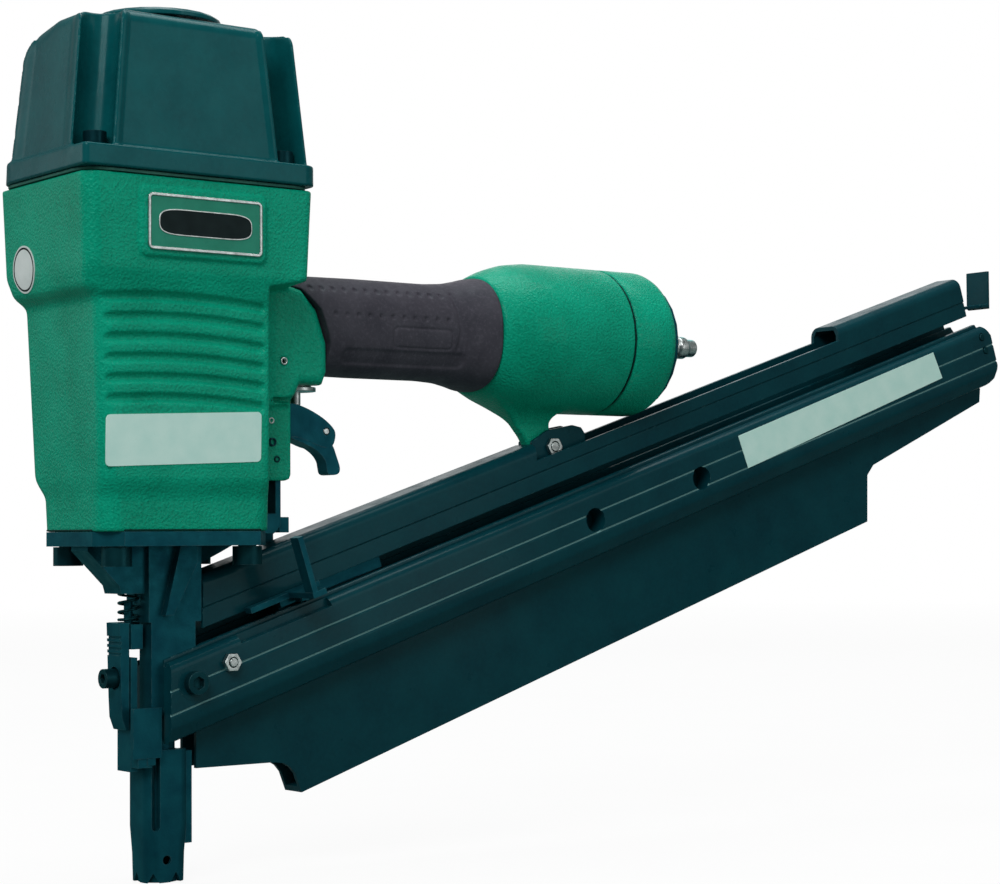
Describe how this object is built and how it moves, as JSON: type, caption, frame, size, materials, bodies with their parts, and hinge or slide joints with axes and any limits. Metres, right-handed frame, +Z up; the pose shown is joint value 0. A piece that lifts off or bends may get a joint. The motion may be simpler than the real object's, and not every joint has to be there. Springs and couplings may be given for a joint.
{
  "type": "pneumatic nail gun",
  "caption": "Compressed-air strip nailer: cast head with piston and cylinder, rubber grip, air reservoir, safety foot and a sloping nail magazine with a sliding pusher.",
  "frame": {"origin": "in the middle of the tool's length and width, level with the tip of the contact foot; the drive axis is 241 mm ahead of it", "axes": "+Z up the drive axis from the nose to the head, +X rearwards along the handle and magazine, -Y the side with the badge"},
  "size_m": [0.5972, 0.0844, 0.3774],
  "materials": {
    "green_enamel": "green hammered enamel on cast aluminium",
    "dark_enamel": "dark teal-black semi-gloss enamel on aluminium",
    "black_steel": "blackened, oiled steel",
    "bare_steel": "bright zinc-plated or ground steel",
    "rubber": "matt nitrile rubber and fibre gasket",
    "grip_rubber": "soft brown-black moulded rubber",
    "aluminium": "hard-anodised aluminium",
    "valve_plastic": "natural acetal"
  },
  "bodies": {
    "tool_body": {"body_casting": "green_enamel", "head_cap": "dark_enamel", "cap_gasket": "rubber", "cap_screw_1": "black_steel", "cap_screw_2": "black_steel", "cap_screw_3": "black_steel", "cap_screw_4": "black_steel", "exhaust_deflector": "dark_enamel", "deflector_screw": "black_steel", "name_badge": "bare_steel", "cylinder_sleeve": "aluminium", "cylinder_seal": "rubber", "bumper": "rubber", "head_valve_spring": "bare_steel", "grip_sleeve": "grip_rubber", "end_cap_gasket": "rubber", "reservoir_end_cap": "green_enamel", "end_plate": "black_steel", "air_plug": "bare_steel", "trigger_pin": "bare_steel", "valve_body": "bare_steel", "valve_spring": "bare_steel", "guide_pin_1": "bare_steel", "guide_pin_2": "bare_steel", "nose_body": "black_steel", "base_gasket": "rubber", "base_screw_1": "black_steel", "base_screw_2": "black_steel", "base_screw_3": "black_steel", "base_screw_4": "black_steel", "safety_spring": "bare_steel", "magazine_cheek_near": "dark_enamel", "magazine_cheek_far": "dark_enamel", "nail_guide": "dark_enamel", "top_rail": "dark_enamel", "front_bolt": "black_steel", "front_stud": "bare_steel", "front_nut": "bare_steel", "rear_pin_1": "bare_steel", "rear_pin_2": "bare_steel", "tail_bracket": "dark_enamel", "strut_bolt": "bare_steel", "strut_nut": "bare_steel"},
    "drive": {"piston": "aluminium", "piston_ring": "rubber", "driver_blade": "bare_steel"},
    "head_valve": {"head_valve": "valve_plastic"},
    "trigger": {"trigger": "black_steel", "tongue_pin": "bare_steel"},
    "tongue": {"trigger_tongue": "bare_steel"},
    "valve_stem": {"valve_stem": "bare_steel"},
    "safety_linkage": {"safety_arm": "black_steel", "safety_yoke": "black_steel", "depth_adjuster": "black_steel", "adjuster_screw": "black_steel"},
    "contact_foot": {"contact_foot": "black_steel"},
    "pusher": {"pusher_carriage": "black_steel", "pusher_spring": "bare_steel"},
    "pusher_lever": {"pusher_lever": "black_steel"},
    "nail_stop": {"nail_stop": "bare_steel"}
  },
  "joints": [
    {"name": "piston_stroke", "type": "slide", "parent": "tool_body", "child": "drive", "axis": [0, 0, -1], "range_m": [0, 0.108]},
    {"name": "head_valve_lift", "type": "slide", "parent": "tool_body", "child": "head_valve", "axis": [0, 0, 1], "range_m": [0, 0.006], "deforming": ["head_valve_spring"]},
    {"name": "trigger_pull", "type": "hinge", "parent": "tool_body", "child": "trigger", "pos_m": [-0.1911, 0, 0.1908], "axis": [0, -1, 0], "range_deg": [0, 12]},
    {"name": "tongue_lift", "type": "hinge", "parent": "trigger", "child": "tongue", "pos_m": [-0.1585, 0, 0.1965], "axis": [0, 1, 0], "range_deg": [0, 12]},
    {"name": "valve_stem_lift", "type": "slide", "parent": "tool_body", "child": "valve_stem", "axis": [0, 0, 1], "range_m": [0, 0.0031], "deforming": ["valve_spring"]},
    {"name": "safety_lift", "type": "slide", "parent": "tool_body", "child": "safety_linkage", "axis": [0, 0, 1], "range_m": [0, 0.009], "deforming": ["safety_spring"]},
    {"name": "depth_setting", "type": "slide", "parent": "safety_linkage", "child": "contact_foot", "axis": [0, 0, 1], "range_m": [-0.003, 0.003]},
    {"name": "pusher_slide", "type": "slide", "parent": "tool_body", "child": "pusher", "axis": [0.9511, 0, 0.309], "range_m": [0, 0.395]},
    {"name": "pusher_lever_tilt", "type": "hinge", "parent": "pusher", "child": "pusher_lever", "pos_m": [-0.17129, 0, 0.12201], "axis": [0, 1, 0], "range_deg": [0, 8]},
    {"name": "nail_stop_flex", "type": "hinge", "parent": "tool_body", "child": "nail_stop", "pos_m": [0.2566, 0, 0.27103], "axis": [0, 1, 0], "range_deg": [-3, 2]}
  ],
  "couplings": [
    {"joint": "valve_stem_lift", "follows": "trigger_pull", "m_per_rad": 0.0143},
    {"joint": "tongue_lift", "follows": "safety_lift", "rad_per_m": 22.3}
  ]
}
